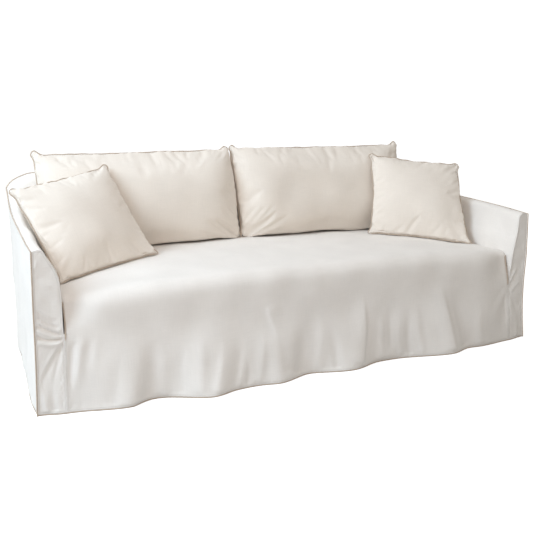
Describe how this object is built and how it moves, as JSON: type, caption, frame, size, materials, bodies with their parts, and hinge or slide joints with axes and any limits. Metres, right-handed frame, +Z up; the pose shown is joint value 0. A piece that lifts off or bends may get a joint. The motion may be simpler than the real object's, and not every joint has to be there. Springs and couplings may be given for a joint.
{
  "type": "sofa slipcover",
  "caption": "Long loose-fitting sofa cover with a softly folded floor-length skirt, tan overlocked edging, and matching filled back and scatter cushions.",
  "frame": {"origin": "underside of the seat cloth, in the middle of the sofa's width and 0.45 m behind the front hem, where the sofa's seat carries the cover", "axes": "+X to the right along the sofa seen from the front, +Y towards the back, +Z up"},
  "size_m": [2.4043, 1.0602, 0.9598],
  "materials": {
    "linen": "matte off-white cotton and linen canvas, plain weave",
    "edging": "matte tan overlocking thread over the cloth's edge"
  },
  "bodies": {
    "root": {"seat_and_skirt": "linen", "inside_back": "linen", "outside_back": "linen", "inside_arm_left": "linen", "inside_arm_right": "linen", "outside_arm_left": "linen", "outside_arm_right": "linen", "arm_front_left": "linen", "arm_front_right": "linen", "top_edging": "edging", "hem_edging": "edging", "slit_edging_left": "edging", "slit_edging_right": "edging", "back_cushion_left": "linen", "back_cushion_left_edging": "edging", "back_cushion_right": "linen", "back_cushion_right_edging": "edging", "scatter_cushion_left": "linen", "scatter_cushion_left_edging": "edging", "scatter_cushion_right": "linen", "scatter_cushion_right_edging": "edging"}
  },
  "joints": []
}
